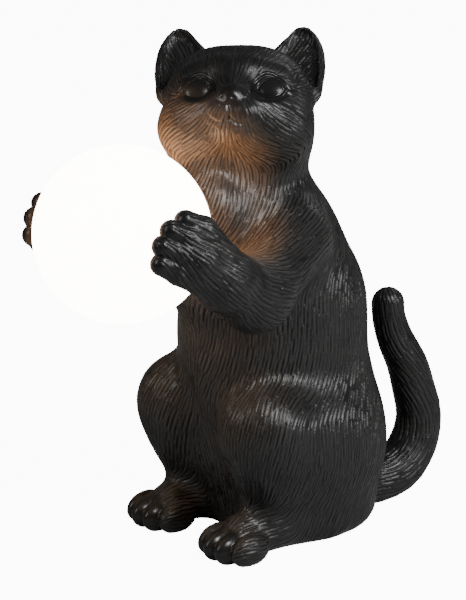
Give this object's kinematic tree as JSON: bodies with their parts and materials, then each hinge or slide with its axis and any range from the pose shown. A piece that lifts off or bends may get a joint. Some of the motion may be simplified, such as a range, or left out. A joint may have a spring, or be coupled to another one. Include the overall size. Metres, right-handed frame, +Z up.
{
  "type": "table lamp",
  "caption": "Cordless figural table lamp: a seated black cat with carved fur looks up and holds a glowing opal globe between its front paws.",
  "frame": {"origin": "centre of the bounding box at floor level, under the foot pads", "axes": "+Z up, -Y the way the cat's body and the globe face, +X the cat's left"},
  "size_m": [0.1556, 0.2778, 0.2933],
  "materials": {
    "resin": "satin black cast resin",
    "opal_glass": "gloss opal glass, lit from inside",
    "black_plastic": "semi-gloss moulded plastic",
    "dark_plastic": "matte moulded plastic",
    "silicone": "soft translucent white",
    "brass": "turned brass",
    "steel": "nickel-plated steel",
    "aluminium": "turned aluminium",
    "white_board": "white solder mask",
    "green_board": "green solder mask",
    "phosphor": "yellow phosphor",
    "frosted": "frosted moulding",
    "red_wire": "red insulation",
    "black_wire": "black insulation",
    "rubber": "matte rubber",
    "cell_skin": "printed metal sleeve"
  },
  "bodies": {
    "lamp": {"cat_body": "resin", "cat_tail": "resin", "globe_socket": "black_plastic", "driver_chip": "black_plastic", "base_plate": "dark_plastic", "choke_coil": "dark_plastic", "globe_gasket": "silicone", "holder_tube": "brass", "tube_nut_front": "brass", "tube_nut_back": "brass", "tube_washer": "steel", "contact_spring_1": "steel", "contact_spring_2": "steel", "contact_spring_3": "steel", "spring_plate_1": "steel", "spring_plate_2": "steel", "spring_plate_3": "steel", "button_plate_1": "steel", "button_plate_2": "steel", "button_plate_3": "steel", "door_hinge_pin": "steel", "base_screw_1": "steel", "base_screw_2": "steel", "base_screw_3": "steel", "base_screw_4": "steel", "board_screw_1": "steel", "board_screw_2": "steel", "led_post": "aluminium", "switch_body": "aluminium", "capacitor": "aluminium", "led_board": "white_board", "circuit_board": "green_board", "led_emitter": "phosphor", "led_diffuser": "frosted", "lead_red": "red_wire", "lead_black": "black_wire", "foot_pad_front_right": "rubber", "foot_pad_front_left": "rubber", "foot_pad_rear_right": "rubber", "foot_pad_rear_left": "rubber", "battery_cell_1": "cell_skin", "battery_cell_2": "cell_skin", "battery_cell_3": "cell_skin"},
    "globe_unit": {"globe": "opal_glass", "globe_collar": "black_plastic"},
    "door": {"battery_door": "dark_plastic"},
    "knob": {"switch_knob": "black_plastic"}
  },
  "joints": [
    {"name": "globe_twist", "type": "hinge", "parent": "lamp", "child": "globe_unit", "pos_m": [0.00038, -0.08893, 0.1985], "axis": [0, 1, 0], "range_deg": [0, 35]},
    {"name": "battery_door_hinge", "type": "hinge", "parent": "lamp", "child": "door", "pos_m": [0.00038, 0.06052, 0.0032], "axis": [1, 0, 0], "range_deg": [0, 75]},
    {"name": "switch_slide", "type": "slide", "parent": "lamp", "child": "knob", "axis": [1, 0, 0], "range_m": [0, 0.004]}
  ]
}
